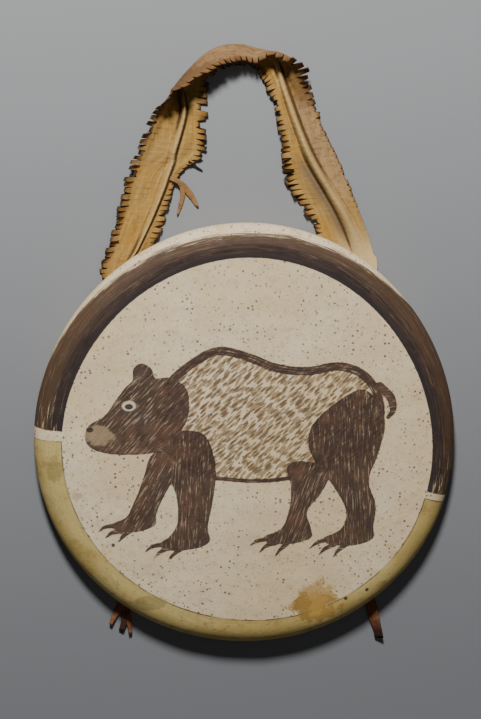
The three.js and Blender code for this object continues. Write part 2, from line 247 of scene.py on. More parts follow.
def drawn_line(stations, closed):
    """A smooth line through the stations (Catmull-Rom), as eight short steps between each two."""
    stations = np.array(stations, float) * BEAR_SCALE
    if closed:
        rows = np.vstack([stations[-1:], stations, stations[:2]])
    else:
        rows = np.vstack([2 * stations[:1] - stations[1:2], stations, 2 * stations[-1:] - stations[-2:-1]])
    t = (np.arange(8) / 8)[:, None]
    steps = [
        0.5 * (2 * b + (c - a) * t + (2 * a - 5 * b + 4 * c - d) * t**2 + (3 * b - a - 3 * c + d) * t**3)
        for a, b, c, d in zip(rows[:-3], rows[1:-2], rows[2:-1], rows[3:])
    ]
    return np.vstack(steps + [rows[1:2] if closed else rows[-2:-1]])


def off_line(x, y, line):
    """How far each point lies from a line of short steps, and how far along the line its nearest place
    is."""
    near = np.full(x.shape, 1e9)
    along = np.zeros(x.shape)
    for step, (here, ahead) in enumerate(zip(line[:-1], line[1:])):
        run = ahead - here
        part = np.clip(((x - here[0]) * run[0] + (y - here[1]) * run[1]) / max(run @ run, 1e-9), 0, 1)
        away = np.hypot(x - here[0] - part * run[0], y - here[1] - part * run[1])
        along = np.where(away < near, (step + part) / (len(line) - 1), along)
        near = np.minimum(near, away)
    return near, along


def filled(x, y, stations):
    """Distance into a closed outline, negative outside it, and how far round the outline the nearest place
    is."""
    line = drawn_line(stations, True)
    crossings = np.zeros(x.shape, int)
    for (ax, ay), (bx, by) in zip(line[:-1], line[1:]):
        if ay != by:
            crossings += ((ay > y) != (by > y)) & (x < ax + (y - ay) * (bx - ax) / (by - ay))
    near, along = off_line(x, y, line)
    return np.where(crossings % 2 == 1, near, -near), along


def stroke(x, y, stations, widths):
    """Distance into a brush stroke that swells and tapers through the given widths."""
    near, along = off_line(x, y, drawn_line(stations, False))
    return np.interp(along, np.linspace(0, 1, len(widths)), widths) * BEAR_SCALE / 2 - near


def down_its_length(x, y, stations):
    """Places along and across a shape's longest direction, which is the way that the brush went."""
    outline = np.array(stations, float) * BEAR_SCALE
    long_way = np.linalg.svd(outline - outline.mean(0))[2][0]
    return x * long_way[0] + y * long_way[1], y * long_way[0] - x * long_way[1]


corners = np.empty(len(disc.data.vertices) * 3)
disc.data.vertices.foreach_get("co", corners)
x, y, z = (corners.reshape(-1, 3) / MM - CENTRE).T
direction = np.arctan2(y, x)
from_top = (np.degrees(direction) + 90) % 360 - 90
from_middle = np.hypot(x, y)
true_radius = from_middle / roundness(direction)
skin_height = np.interp(true_radius, outer_radius[:-8], outer_height[:-8])
hollow = (z < skin_height - HIDE_THICKNESS / 2) & (true_radius < DISC_RADIUS - 6.5)
drop = np.maximum(RIM_HEIGHT - z, 0) * smooth(true_radius, SHOULDER_RADIUS - 4, SHOULDER_RADIUS + 4)
border_edge = BORDER_EDGE + sum(c * np.cos(k * direction) + s * np.sin(k * direction)
                                for k, (c, s) in enumerate(BORDER_WAVES, start=1))
store(disc, "height", z)
store(disc, "hollow", hollow)
store(disc, "border", from_middle + 0.6 * drop - border_edge)
store(disc, "brown_reach", z - np.interp(from_top, *np.array(BROWN_LIMIT).T))
for name, (middle, half) in (("brown_part", BROWN_PART), ("ochre_part", OCHRE_PART)):
    away = np.abs((np.degrees(direction) - middle + 180) % 360 - 180)
    store(disc, name, np.radians(half - away) * from_middle)
holes = [np.hypot(x - reach * np.cos(np.radians(turn)), y - reach * np.sin(np.radians(turn)))
         for turn, reach in THONG_HOLES]
store(disc, "by_hole", np.minimum.reduce(holes))

front = ~hollow & (from_middle < SHOULDER_RADIUS)
face_x, face_y = x[front], y[front]
body, round_body = filled(face_x, face_y, BEAR_BODY)
back_line = np.minimum(body, np.where(face_y > 0, 10.5, 5.0) - body)
parts = [(back_line, (round_body * 760, body))]
for outline in [BEAR_HEAD] + BEAR_LEGS:
    parts.append((filled(face_x, face_y, outline)[0], down_its_length(face_x, face_y, outline)))
for line in [BEAR_TAIL] + BEAR_CLAWS:
    widths = [10, 9, 4] if line is BEAR_TAIL else CLAW_WIDTHS
    parts.append((stroke(face_x, face_y, line, widths), (face_x, face_y)))
depths = np.array([depth for depth, way in parts])
topmost = depths.argmax(0)
ways = np.array([way for depth, way in parts])
brushed = np.take_along_axis(ways, topmost[None, None, :], axis=0)[0]
for name, values in (
    ("bear", depths.max(0)), ("coat", body), ("brush_along", brushed[0]), ("brush_across", brushed[1]),
):
    everywhere = np.full(len(x), -30.0)
    everywhere[front] = values
    store(disc, name, everywhere)


def colour(text):
    """A screen colour written as #RRGGBB, as the linear colour that a material or a light takes."""
    share = np.array([int(text[at:at + 2], 16) for at in (1, 3, 5)]) / 255
    return (*np.where(share > 0.04045, ((share + 0.055) / 1.055) ** 2.4, share / 12.92).tolist(), 1.0)


def add(tree, kind, feeds=(), out=0, **settings):
    """Adds one node with its settings. Its feeds, by order or by name, are sockets or plain values. Gives
    its output."""
    node = tree.nodes.new("ShaderNode" + kind)
    for name, value in settings.items():
        setattr(node, name, value)
    for name, value in (feeds.items() if isinstance(feeds, dict) else enumerate(feeds)):
        if isinstance(value, bpy.types.NodeSocket):
            tree.links.new(value, node.inputs[name])
        else:
            node.inputs[name].default_value = value
    return node.outputs[out]


def new_material(piece, name):
    """Gives the piece an empty material; returns its nodes and its shader."""
    material = bpy.data.materials.new(name)
    material.use_nodes = True
    piece.data.materials.clear()
    piece.data.materials.append(material)
    return material.node_tree, material.node_tree.nodes["Principled BSDF"]


def coats(tree, under, *layers):
    """Lays coats of colour over one another: each layer is how much of it shows, and its colour."""
    for share, tint in layers:
        top = colour(tint) if isinstance(tint, str) else tint
        under = add(tree, "Mix", {0: share, 6: under, 7: top}, out=2, data_type="RGBA")
    return under


def in_mm(tree):
    """Object coordinates in millimetres."""
    metres = add(tree, "TexCoord", out=3)
    return add(tree, "VectorMath", {0: metres, "Scale": 1 / MM}, operation="SCALE")


EASE = {"interpolation_type": "SMOOTHSTEP"}
TIMES = {"operation": "MULTIPLY"}
MINUS = {"operation": "SUBTRACT"}
TIMES_PLUS = {"operation": "MULTIPLY_ADD"}

# Painted rawhide: a chalky cream ground, yellow and pink in clouds, over hide whose hair pores show as brown
# specks about 6 mm apart. It is matt, a little polished where it was handled, with a fine grain and slow
# waves.
tree, shader = new_material(disc, "painted rawhide")
on_mesh = {
    name: add(tree, "Attribute", out=2, attribute_name=name)
    for name in (
        "height", "border", "brown_part", "ochre_part", "brown_reach", "bear", "coat", "brush_along",
        "brush_across", "by_hole", "hollow",
    )
}
place = in_mm(tree)
east = add(tree, "SeparateXYZ", [place])
north = add(tree, "SeparateXYZ", [place], out=1)
height = on_mesh["height"]
clouds = add(tree, "TexNoise", {"Vector": place, "Scale": 1 / 85, "Detail": 4.0, "Distortion": 0.6})
patches = add(tree, "TexNoise", {"Vector": place, "Scale": 1 / 34, "Detail": 3.0, "Roughness": 0.6})
mottle = add(tree, "TexNoise", {"Vector": place, "Scale": 1 / 9, "Detail": 5.0, "Roughness": 0.62})
grain = add(tree, "TexNoise", {"Vector": place, "Scale": 1 / 1.4, "Detail": 3.0, "Roughness": 0.7})
ground = coats(
    tree, colour("#E4D1AE"),
    (add(tree, "MapRange", [clouds, 0.36, 0.64], **EASE), "#DBC49A"),
    (add(tree, "MapRange", [patches, 0.5, 0.72, 0, 0.6], **EASE), "#D8BEA2"),
    (add(tree, "MapRange", [mottle, 0.48, 0.72, 0, 0.6], **EASE), "#C4AA82"),
    (add(tree, "MapRange", [grain, 0.42, 0.72, 0, 0.45], **EASE), "#9C886C"),
)
cell_feeds = {"Vector": place, "Scale": 1 / 5.4, "Randomness": 0.9}
from_pore = add(tree, "TexVoronoi", cell_feeds)
cell_draw = add(tree, "SeparateXYZ", [add(tree, "TexVoronoi", cell_feeds, out=1)])
pore_width = add(tree, "MapRange", [cell_draw, 0.0, 1.0, 0.1, 0.3])
pore_edge = add(tree, "Math", [pore_width, from_pore], **MINUS)
pore_area = add(tree, "MapRange", [patches, 0.34, 0.6, 0.45, 1.0], **EASE)
pore = add(
    tree, "Math", [add(tree, "MapRange", [pore_edge, -0.05, 0.06, 0, 0.85], **EASE), pore_area], **TIMES,
)
small_cells = add(tree, "TexVoronoi", {"Vector": place, "Scale": 1 / 2.9})
small_pore = add(tree, "MapRange", [small_cells, 0.24, 0.08, 0, 0.55], **EASE)
small_pore = add(tree, "Math", [small_pore, add(tree, "MapRange", [mottle, 0.4, 0.6], **EASE)], **TIMES)
ground = coats(tree, ground, (small_pore, "#86704F"), (pore, "#5C4833"))

# The border's brown is a thin wash over the ground, streaked along the rim, densest along its inner edge,
# browner and thinner outside, and rubbed through near its two ends. The ochre is thicker and cloudy, with a
# drawn line.
border = on_mesh["border"]
brown_part = on_mesh["brown_part"]
ochre_part = on_mesh["ochre_part"]
brown_reach = on_mesh["brown_reach"]
round_rim = add(tree, "CombineXYZ", [
    add(tree, "Math", [east, 30.0], operation="DIVIDE"),
    add(tree, "Math", [north, 30.0], operation="DIVIDE"),
    add(tree, "Math", [border, 1.7], operation="DIVIDE"),
])
streaks = add(
    tree, "TexNoise",
    {"Vector": round_rim, "Scale": 1.0, "Detail": 4.0, "Roughness": 0.62, "Distortion": 0.5},
)
broad_streaks = add(tree, "TexNoise", {"Vector": round_rim, "Scale": 0.37, "Detail": 3.0})
unsteady = add(tree, "TexNoise", {"Vector": place, "Scale": 1 / 6, "Detail": 4.0, "Roughness": 0.6})
unsteady = add(tree, "Math", [unsteady, 0.5], **MINUS)
brown = coats(
    tree, colour("#2E2522"),
    (add(tree, "MapRange", [streaks, 0.38, 0.62, 0, 0.8], **EASE), "#44332A"),
    (add(tree, "MapRange", [broad_streaks, 0.5, 0.7, 0, 0.7], **EASE), "#573F31"),
    (add(tree, "MapRange", [mottle, 0.5, 0.7, 0, 0.5], **EASE), "#4C382E"),
    (add(tree, "MapRange", [border, 13.0, 24.0, 0, 0.45], **EASE), "#5F4730"),
    (add(tree, "MapRange", [border, 10.0, 3.0, 0, 0.8], **EASE), "#2B2627"),
)
inner_edge = add(
    tree, "MapRange", [add(tree, "Math", [unsteady, 1.2, border], **TIMES_PLUS), -0.5, 0.5], **EASE,
)
brown_end = add(
    tree, "MapRange", [add(tree, "Math", [unsteady, 3.0, brown_part], **TIMES_PLUS), -0.6, 0.6], **EASE,
)
dry_brush = add(
    tree, "Math", [add(tree, "Math", [streaks, 0.5], **MINUS), 14.0, brown_reach], **TIMES_PLUS,
)
brown_share = add(tree, "Math", [inner_edge, brown_end], **TIMES)
brown_share = add(
    tree, "Math", [brown_share, add(tree, "MapRange", [dry_brush, -1.5, 2.5], **EASE)], **TIMES,
)
near_end = add(tree, "MapRange", [brown_part, 62.0, 12.0, 0.1, 0.9], **EASE)
rubbed = add(tree, "Math", [add(tree, "MapRange", [streaks, 0.56, 0.68], **EASE), near_end], **TIMES)
rubbed = add(tree, "Math", [rubbed, add(tree, "MapRange", [border, 3.0, 13.0, 0.05, 1.0], **EASE)], **TIMES)
brown_share = add(
    tree, "Math", [brown_share, add(tree, "Math", [1.0, rubbed], **MINUS)], **TIMES,
)
ochre = coats(
    tree, colour("#B09A58"),
    (add(tree, "MapRange", [streaks, 0.35, 0.65, 0, 0.8], **EASE), "#C0AA6C"),
    (add(tree, "MapRange", [clouds, 0.44, 0.6, 0, 0.7], **EASE), "#A98F4C"),
    (add(tree, "MapRange", [patches, 0.54, 0.68, 0, 0.7], **EASE), "#8C6E34"),
    (add(tree, "MapRange", [mottle, 0.56, 0.7, 0, 0.5], **EASE), "#846838"),
)
ochre_low = add(
    tree, "Math", [add(tree, "Math", [streaks, 0.5], **MINUS), 10.0, height], **TIMES_PLUS,
)
ochre_low = add(tree, "MapRange", [ochre_low, OCHRE_LIMIT - 2, OCHRE_LIMIT + 2], **EASE)
ochre_end = add(
    tree, "MapRange", [add(tree, "Math", [unsteady, 2.0, ochre_part], **TIMES_PLUS), -0.6, 0.6], **EASE,
)
ochre_share = add(tree, "Math", [add(tree, "Math", [inner_edge, ochre_end], **TIMES), ochre_low], **TIMES)
ochre_share = add(
    tree, "Math", [ochre_share, add(tree, "MapRange", [grain, 0.8, 0.45, 0.7, 0.96], **EASE)], **TIMES,
)
into_ochre = add(tree, "Math", [border, ochre_part], operation="MINIMUM")
off_edge = add(
    tree, "Math", [add(tree, "Math", [unsteady, 1.2, into_ochre], **TIMES_PLUS)], operation="ABSOLUTE",
)
drawn = add(tree, "MapRange", [off_edge, 1.1, 0.4, 0, 0.85], **EASE)
drawn = add(tree, "Math", [drawn, add(tree, "MapRange", [patches, 0.35, 0.6, 0.35, 1.0], **EASE)], **TIMES)
drawn = add(tree, "Math", [drawn, ochre_low], **TIMES)

# The bear: its head, legs and back are one wash, streaked along each part; its flank is short dabs of two
# browns.
bear = on_mesh["bear"]
coat = on_mesh["coat"]
along = add(tree, "Math", [on_mesh["brush_along"], 20.0], operation="DIVIDE")
across = add(tree, "Math", [on_mesh["brush_across"], 1.8], operation="DIVIDE")
brush_way = add(tree, "CombineXYZ", [along, across])
brush = add(
    tree, "TexNoise",
    {"Vector": brush_way, "Scale": 1.0, "Detail": 4.0, "Roughness": 0.6, "Distortion": 0.6},
)
bear_brown = coats(
    tree, colour("#372A25"),
    (add(tree, "MapRange", [brush, 0.36, 0.62, 0, 0.85], **EASE), "#523C31"),
    (add(tree, "MapRange", [patches, 0.46, 0.66, 0, 0.55], **EASE), "#654635"),
    (add(tree, "MapRange", [mottle, 0.52, 0.7, 0, 0.4], **EASE), "#3E302A"),
    (add(tree, "MapRange", [bear, 4.0, 0.5, 0, 0.45], **EASE), "#322724"),
)
bear_share = add(
    tree, "MapRange", [add(tree, "Math", [unsteady, 1.8, bear], **TIMES_PLUS), -0.5, 0.6], **EASE,
)
thin_wash = add(tree, "MapRange", [brush, 0.66, 0.54, 0.62, 0.97], **EASE)
bear_share = add(tree, "Math", [bear_share, thin_wash], **TIMES)


def dabs(tree, place, lean, shift, wide, long, reach):
    """Separate brush dabs: stretched cells, each holding one dab of its own size that leans one way."""
    leaning = add(tree, "VectorRotate", {"Vector": place, "Angle": np.radians(lean)}, rotation_type="Z_AXIS")
    stretched = add(
        tree, "VectorMath", [leaning, (1 / long, 1 / wide, 0.0), (shift, shift, 0.0)], **TIMES_PLUS,
    )
    bent = add(tree, "TexNoise", {"Vector": stretched, "Scale": 1.3, "Detail": 2.0}, out=1)
    bent = add(tree, "VectorMath", [bent, (0.55, 0.55, 0.0), stretched], **TIMES_PLUS)
    cell = {"Vector": bent, "Scale": 1.0, "Randomness": 0.85}
    drawn_size = add(tree, "SeparateXYZ", [add(tree, "TexVoronoi", cell, out=1, voronoi_dimensions="2D")])
    size = add(tree, "MapRange", [drawn_size, 0.0, 1.0, reach - 0.2, reach])
    edge = add(
        tree, "Math", [size, add(tree, "TexVoronoi", cell, voronoi_dimensions="2D")], **MINUS,
    )
    return add(tree, "MapRange", [edge, -0.06, 0.1], **EASE)


pale_dabs = dabs(tree, place, -46.0, 0.0, 4.0, 13.0, 0.52)
dark_dabs = dabs(tree, place, -38.0, 7.3, 4.4, 15.0, 0.42)
coat_edge = add(
    tree, "MapRange", [add(tree, "Math", [unsteady, 8.0, coat], **TIMES_PLUS), -1.0, 3.0, 0, 0.85], **EASE,
)


def stain(tree, middle, half_width, half_height, ragged, strength):
    """How much of a stain shows: an ellipse whose edge is torn by cloudy noise."""
    wide = add(
        tree, "Math",
        [add(tree, "Math", [east, middle[0] + CENTRE[0]], **MINUS), 1 / half_width], **TIMES,
    )
    high = add(
        tree, "Math",
        [add(tree, "Math", [north, middle[1] + CENTRE[1]], **MINUS), 1 / half_height], **TIMES,
    )
    round_it = add(tree, "Math", [wide, wide, add(tree, "Math", [high, high], **TIMES)], **TIMES_PLUS)
    torn = add(tree, "TexNoise", {"Vector": place, "Scale": 1 / 13, "Detail": 6.0, "Roughness": 0.68})
    torn = add(
        tree, "Math", [add(tree, "Math", [torn, 0.5], **MINUS), ragged, round_it], **TIMES_PLUS,
    )
    return add(tree, "MapRange", [torn, 1.15, 0.6, 0, strength], **EASE)


face = coats(
    tree, ground,
    (stain(tree, (80, -199), 25, 27, 3.6, 0.75), "#B0894A"),
    (brown_share, brown),
    (ochre_share, ochre),
    (drawn, "#3E3830"),
    (stain(tree, (82, -208), 30, 20, 5.0, 0.7), "#96702F"),
    (stain(tree, (78, -203), 17, 15, 5.0, 0.55), "#BC9448"),
    (stain(tree, (66, -205), 9, 20, 6.0, 0.5), "#8A6A33"),
    (stain(tree, (120, -11), 4.6, 5.0, 0.8, 0.85), "#A39240"),
    (stain(tree, (-119, -196), 20, 11, 4.0, 0.6), "#857648"),
    (stain(tree, (-228, -26), 10, 18, 4.0, 0.6), "#8C7B45"),
    (stain(tree, (-204, -59), 6, 5, 2.0, 0.5), "#A68C62"),
    (add(tree, "Math", [pale_dabs, coat_edge], **TIMES), "#8F7552"),
    (add(tree, "Math", [dark_dabs, coat_edge], **TIMES), "#66503A"),
    (bear_share, bear_brown),
    (stain(tree, (-176, 15), 17, 12, 3.0, 0.6), "#A58C6C"),
    (stain(tree, (-141, 50), 8.5, 6.5, 0.8, 0.95), "#CFC1A3"),
    (stain(tree, (-141, 49), 5.2, 3.6, 0.4, 0.95), "#2E2523"),
    (stain(tree, (-187, 22), 4.5, 3.2, 0.4, 0.9), "#2E2523"),
)
# The lower wall is darker towards the ground, partly dirt and partly painted shade; painted shade darkens
# the holes, and the hollow is bare rawhide: amber, uneven, brown in its pores.
# Darker where the wall is low: dirt and painted shade together.
dirt_and_wall_shade = add(
    tree, "Math", [add(tree, "Math", [mottle, 0.5], **MINUS), 16.0, height], **TIMES_PLUS,
)
face = coats(
    tree, face,
    (add(tree, "MapRange", [dirt_and_wall_shade, 18.0, 2.0, 0, 0.6], **EASE), "#8A7658"),
    # Painted shade darkens each thong hole and its lip.
    (add(tree, "MapRange", [on_mesh["by_hole"], 3.4, 1.4, 0, 0.9], **EASE), "#2B2420"),
)
bare = coats(
    tree, colour("#B39263"),
    (add(tree, "MapRange", [clouds, 0.35, 0.65], **EASE), "#94703F"),
    (add(tree, "MapRange", [mottle, 0.5, 0.72, 0, 0.6], **EASE), "#7A5A34"),
    (pore, "#5E4528"),
)
whole = coats(tree, face, (on_mesh["hollow"], bare))
tree.links.new(whole, shader.inputs["Base Color"])
shader.inputs["Specular IOR Level"].default_value = 0.25
tree.links.new(add(tree, "MapRange", [mottle, 0.3, 0.7, 0.6, 0.82]), shader.inputs["Roughness"])
relief = add(tree, "Math", [pore, -0.18, add(tree, "Math", [grain, 0.06], **TIMES)], **TIMES_PLUS)
relief = add(tree, "Math", [mottle, 0.25, relief], **TIMES_PLUS)
relief = add(tree, "Math", [patches, 0.9, relief], **TIMES_PLUS)
bumps = add(tree, "Bump", {"Strength": 0.8, "Distance": MM, "Height": relief})
tree.links.new(bumps, shader.inputs["Normal"])

# ---- The carrying strap ----
# One band of soft tanned leather whose two edges were snipped into short tabs, which have dried dark and
# curled. It lies on the ground as a loop: flat and pleated along both legs, rolled over into a channel round
# the top, with its two ends under the disc.

# Each row: the inner edge's place, the outer side's place (from the disc's middle), how far the band rolls
# over in degrees; the pleat's place across it (0 inner, 1 outer), its height, the half width between the
# creases beside it, and which crease gets the darker painted shade (-1 inner, 1 outer); how creased it is;
# and how long the inner and outer tabs are.
STRAP_COURSE = np.array([
    [-130, 104, -166, 104, 0, 0.50, 0, 3.0, 0, 0.2, 0.0, 0.0],
    [-122, 165, -164, 168, 0, 0.45, 0, 3.0, 0, 0.2, 0.0, 0.0],
    [-116, 207, -168, 204, 0, 0.42, 2, 3.0, 0, 0.3, 0.5, 0.6],
    [-108, 230, -160, 226, 0, 0.36, 4, 3.2, 0, 0.5, 0.8, 0.9],
    [-97, 262, -150, 260, 4, 0.27, 5, 3.6, -1, 0.8, 0.8, 1.0],
    [-86, 296, -140, 300, 6, 0.20, 6, 4.0, -1, 0.8, 0.5, 1.0],
    [-75, 318, -133, 323, 8, 0.24, 6, 4.2, -1, 0.9, 0.3, 1.0],
    [-51, 338, -124, 347, 10, 0.44, 6, 4.4, -1, 1.0, 0.9, 1.0],
    [-48, 376, -109, 387, 24, 0.39, 6, 4.6, 0, 1.4, 1.1, 1.0],
    [-48, 400, -95, 408, 70, 0.42, 4, 4.6, 0, 1.6, 1.1, 0.9],
    [-43, 420, -78, 424, 115, 0.45, 0, 4.0, 0, 1.2, 0.8, 0.7],
    [-36, 431, -64, 438, 140, 0.50, 0, 4.0, 0, 0.8, 0.7, 0.7],
    [-24, 438, -45, 455, 155, 0.50, 0, 4.0, 0, 0.6, 0.6, 0.6],
    [-12, 441, -24, 463, 160, 0.50, 0, 4.0, 0, 0.5, 0.6, 0.6],
    [0, 441, -3, 463, 160, 0.50, 0, 4.0, 0, 0.5, 0.6, 0.6],
    [9, 438, 12, 459, 150, 0.50, 0, 4.0, 0, 0.8, 0.6, 0.6],
    [16, 433, 28, 457, 110, 0.45, 0, 4.0, 0, 1.2, 0.8, 1.0],
    [22, 424, 52, 452, 60, 0.42, 3, 4.6, 0, 1.4, 0.9, 1.3],
    [28, 411, 66, 431, 30, 0.38, 6, 5.0, 1, 1.2, 0.8, 1.3],
    [35, 392, 75, 410, 14, 0.36, 9, 5.4, 1, 1.0, 0.5, 0.9],
    [41, 362, 92, 368, 4, 0.40, 10, 6.0, 1, 0.9, 0.8, 0.25],
    [47, 320, 112, 328, 0, 0.50, 10, 6.6, 0, 0.8, 1.3, 0.25],
    [62, 288, 127, 292, 0, 0.58, 9, 7.0, -1, 0.7, 1.2, 0.3],
    [77, 261, 139, 262, 0, 0.64, 7, 8.0, -1, 0.5, 1.0, 0.1],
    [86, 238, 150, 232, 0, 0.68, 4, 9.0, -1, 0.3, 0.7, 0.0],
    [97, 205, 157, 200, 0, 0.70, 1, 9.0, 0, 0.2, 0.2, 0.0],
    [105, 165, 151, 165, 0, 0.60, 0, 8.0, 0, 0.2, 0.0, 0.0],
    [110, 104, 146, 104, 0, 0.50, 0, 8.0, 0, 0.2, 0.0, 0.0],
])
STRAP_THICKNESS = 2.2
CURL_START = 0.18
CURL_END = 0.86
TAB_PITCH = 6.9
TAB_DEPTH = 12.0
SLIT = 1.1
BAND_COLUMNS = 44
TAB_COLUMNS = 6


def along_rows(rows, place):
    """A smooth line through rows of numbers, read at places counted in rows (a Catmull-Rom line)."""
    padded_rows = np.vstack([2 * rows[:1] - rows[1:2], rows, 2 * rows[-1:] - rows[-2:-1]])
    first = np.clip(np.floor(place).astype(int), 0, len(rows) - 2)
    t = (place - first)[:, None]
    a, b, c, d = (padded_rows[first + k] for k in range(4))
    return 0.5 * (2 * b + (c - a) * t + (2 * a - 5 * b + 4 * c - d) * t**2 + (3 * b - a - 3 * c + d) * t**3)


def by_length(rows, columns, step):
    """Places along the rows that are evenly spaced, about one step apart, by the length of the given
    columns."""
    fine = np.linspace(0, len(rows) - 1, 4000)
    line = along_rows(rows[:, columns], fine)
    length = np.concatenate([[0], np.cumsum(np.linalg.norm(np.diff(line, axis=0), axis=1))])
    count = int(round(length[-1] / step))
    return np.interp(np.arange(count + 1) * length[-1] / count, length, fine), length[-1]


middles = np.column_stack([STRAP_COURSE, (STRAP_COURSE[:, :2] + STRAP_COURSE[:, 2:4]) / 2])
tab_places, strap_length = by_length(middles, [12, 13], TAB_PITCH)
tabs = len(tab_places) - 1
# Each tab has five stations along the strap: the foot of the slit before it, then four across the tab
# itself.
station_shares = np.array([0, SLIT, 0.3 * TAB_PITCH, 0.85 * TAB_PITCH, 0.99 * TAB_PITCH]) / TAB_PITCH
station_places = (tab_places[:-1, None] + np.diff(tab_places)[:, None] * station_shares).ravel()
in_slit = np.tile([1.0, 0, 0, 0, 0], tabs)[:, None]
tab_number = np.repeat(np.arange(tabs), 5)
tab_middle = np.tile(station_shares - 0.55, tabs)[:, None]
row = along_rows(middles, station_places)
start = row[:, 0:2]
reach = np.linalg.norm(row[:, 2:4] - start, axis=1)[:, None]
outwards = (row[:, 2:4] - start) / reach
onwards = np.stack([outwards[:, 1], -outwards[:, 0]], axis=1)
curl = np.radians(np.clip(row[:, 4], 0, None))[:, None]
pleat_place, pleat_height, crease_half, darker, creasing = (row[:, k][:, None] for k in range(5, 10))
pleat_height = np.clip(pleat_height, 0, None)
inner_tabs, outer_tabs = (np.clip(row[:, k][:, None], 0, None) for k in (10, 11))
lengthwise = np.linspace(0, strap_length, len(row))[:, None]
rng = np.random.default_rng(12)

# The section as a flat band that rolls over: its heading grows from level to the full roll across the width.
fine_across = np.linspace(0, 1, 121)[None, :]
heading = curl * smooth(fine_across, CURL_START, CURL_END)
step = 1 / 120
level_start = np.zeros((len(row), 1))
out_line = np.concatenate([level_start, np.cumsum(np.cos(heading[:, :-1]) * step, axis=1)], axis=1)
up_line = np.concatenate([level_start, np.cumsum(np.sin(heading[:, :-1]) * step, axis=1)], axis=1)
width = reach / out_line.max(1, keepdims=True)


def read_line(values, across):
    """Values of each row's line at its own places across."""
    spot = np.clip(across, 0, 1) * (values.shape[1] - 1)
    low = np.minimum(spot.astype(int), values.shape[1] - 2)
    rows_here = np.arange(len(values))[:, None]
    return values[rows_here, low] * (1 - (spot - low)) + values[rows_here, low + 1] * (spot - low)


def band_part(across):
    """Points out from the inner edge and up from the ground for the uncut middle of the band. The pleat is a
    bell between two narrower bells cut down, and long creases wander beside it."""
    lean = curl * smooth(across, CURL_START, CURL_END)
    off_pleat = (across - pleat_place) * width
    crest = 0.75 * np.exp(-(off_pleat / (0.75 * crease_half))**2)
    crease = np.exp(-((off_pleat + crease_half) / 1.6)**2) + np.exp(-((off_pleat - crease_half) / 1.6)**2)
    shoulder = 0.5 * np.exp(-(off_pleat / (3.2 * crease_half))**2)
    lift = pleat_height * (crest + shoulder - 0.45 * crease)
    lift += np.sin(across * 31 + 1.3 * np.sin(lengthwise / 21)) * 0.35 * creasing
    lift += np.sin(across * 15 + lengthwise / 47 + 1.0) * 0.5 * creasing
    lift += np.sin(lengthwise / 9.5 + across * 7) * np.sin(lengthwise / 23) * 0.4 * creasing
    lift = np.maximum(lift + 0.7 * creasing, 0)
    away = read_line(out_line, across) * width - np.sin(lean) * lift
    above = read_line(up_line, across) * width + np.cos(lean) * lift + STRAP_THICKNESS / 2
    return away, above, lean


def tab_part(edge_across, side, tab_share, roll_mean, roll_spread):
    """The tabs of one edge: each leaves the band along its lean and rolls along its length by its own
    amount."""
    share = np.linspace(0, 1, TAB_COLUMNS + 1)[1:][None, :]
    drawn_length = rng.uniform(0.75, 1.1, tabs) * np.where(rng.random(tabs) < 0.07, 0.35, 1.0)
    length = (
        TAB_DEPTH * drawn_length[tab_number][:, None] * tab_share + 0.3
    ) * (1 - in_slit) + 0.25 * in_slit
    roll = np.radians(
        rng.normal(roll_mean, roll_spread, tabs)
    )[tab_number][:, None] * np.minimum(tab_share, 1)
    splay = rng.normal(0, 0.8, tabs)[tab_number][:, None] * tab_share
    twist = rng.normal(0, 0.9, tabs)[tab_number][:, None] * tab_share * tab_middle
    away, above, lean = band_part(edge_across)
    turn = lean + side * roll * share**1.3
    ahead = side * np.cumsum(np.cos(turn), axis=1) * length / TAB_COLUMNS
    rise = side * np.cumsum(np.sin(turn), axis=1) * length / TAB_COLUMNS + twist * share * 2.5
    narrow = -0.16 * TAB_PITCH * tab_middle * share * (1 - in_slit)
    return away + ahead, above + rise, turn, splay * share * (1 - in_slit) + narrow


cut_in = 0.75 * TAB_DEPTH * np.minimum(inner_tabs, 1) / width
cut_out = (
    0.75 * TAB_DEPTH * np.minimum(outer_tabs, 1) + 2.5 * (outer_tabs < 0.4) * (inner_tabs > 0.4)
) / width
band_across = cut_in + (1 - cut_in - cut_out) * np.linspace(0, 1, BAND_COLUMNS)[None, :]
band_out, band_up, band_lean = band_part(band_across)
in_out, in_up, in_turn, in_slide = tab_part(cut_in, -1.0, inner_tabs, 22, 22)
far_out, far_up, far_turn, far_slide = tab_part(1 - cut_out, 1.0, outer_tabs, 26, 26)
section_out = np.concatenate([in_out[:, ::-1], band_out, far_out], axis=1)
section_up = np.concatenate([in_up[:, ::-1], band_up, far_up], axis=1)
section_lean = np.concatenate([in_turn[:, ::-1], band_lean, far_turn], axis=1)
section_slide = np.concatenate([in_slide[:, ::-1], np.zeros_like(band_out), far_slide], axis=1)
half_thick = STRAP_THICKNESS / 2
section_up -= np.minimum(section_up - half_thick * np.abs(np.cos(section_lean)), 0)


def strap_side(level):
    """One side of the leather: the section's middle line moved half a thickness along its own normal."""
    away = section_out - np.sin(section_lean) * level
    above = section_up + np.cos(section_lean) * level
    moved_out = outwards[:, None, :] * away[..., None]
    moved_on = onwards[:, None, :] * section_slide[..., None]
    place = start[:, None, :] + moved_out + moved_on
    return np.concatenate([place, above[..., None]], axis=2)


def round_section(values, underside=None):
    """Numbers across the section, carried round both its sides and to the two closed ends."""
    under = values if underside is None else underside
    whole_ring = np.concatenate([values, under[:, ::-1]], axis=1)[:, ::-1]
    return np.concatenate([whole_ring.ravel(), [whole_ring[0].mean(), whole_ring[-1].mean()]])


strap_rings = np.concatenate([strap_side(half_thick), strap_side(-half_thick)[:, ::-1]], axis=1)
strap = skins_from_rings("carrying_strap_leather", [strap_rings[:, ::-1] + CENTRE])
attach(strap, "root")
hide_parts("carrying_strap")
